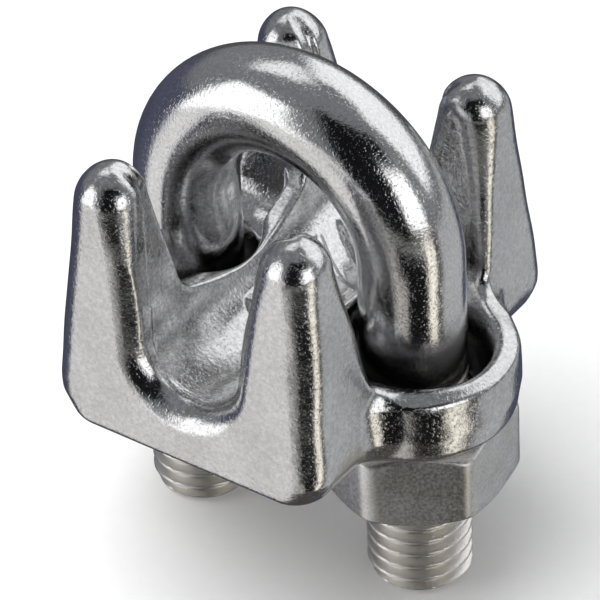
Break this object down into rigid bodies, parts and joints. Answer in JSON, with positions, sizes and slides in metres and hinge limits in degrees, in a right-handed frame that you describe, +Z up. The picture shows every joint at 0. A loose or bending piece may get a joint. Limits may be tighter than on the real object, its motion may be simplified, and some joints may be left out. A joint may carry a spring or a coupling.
{
  "type": "wire rope clip",
  "caption": "Wire rope clip: a threaded U-bolt clamps a rope into the groove of a cast four-horned saddle, drawn up by hexagon nuts on its legs.",
  "frame": {"origin": "midway between the two legs, in the plane of their threaded ends", "axes": "+X from the left leg to the right leg, +Y along the clamped rope, +Z up the legs towards the round bow"},
  "size_m": [0.0448, 0.039, 0.0535],
  "materials": {
    "rod_steel": "drawn stainless bar bent to a U and tumble-polished; satin threads",
    "cast_steel": "investment-cast stainless, tumble-polished over a fine orange-peel skin",
    "nut_steel": "satin machined stainless"
  },
  "bodies": {
    "u_bolt": {"u_bolt": "rod_steel"},
    "saddle": {"saddle": "cast_steel"},
    "nut_left": {"nut_left": "nut_steel"},
    "nut_right": {"nut_right": "nut_steel"}
  },
  "joints": [
    {"name": "saddle_slide", "type": "slide", "parent": "u_bolt", "child": "saddle", "axis": [0, 0, 1], "range_m": [-0.0115, 0.0051]},
    {"name": "nut_left_turn", "type": "hinge", "parent": "saddle", "child": "nut_left", "pos_m": [-0.0125, 0, 0.0155], "axis": [0, 0, 1], "range_deg": [-2762, 1226]},
    {"name": "nut_right_turn", "type": "hinge", "parent": "saddle", "child": "nut_right", "pos_m": [0.0125, 0, 0.0155], "axis": [0, 0, 1], "range_deg": [-2762, 1226]}
  ],
  "couplings": [
    {"joint": "nut_left_turn", "follows": "saddle_slide", "rad_per_m": 4188.8},
    {"joint": "nut_right_turn", "follows": "saddle_slide", "rad_per_m": 4188.8}
  ]
}
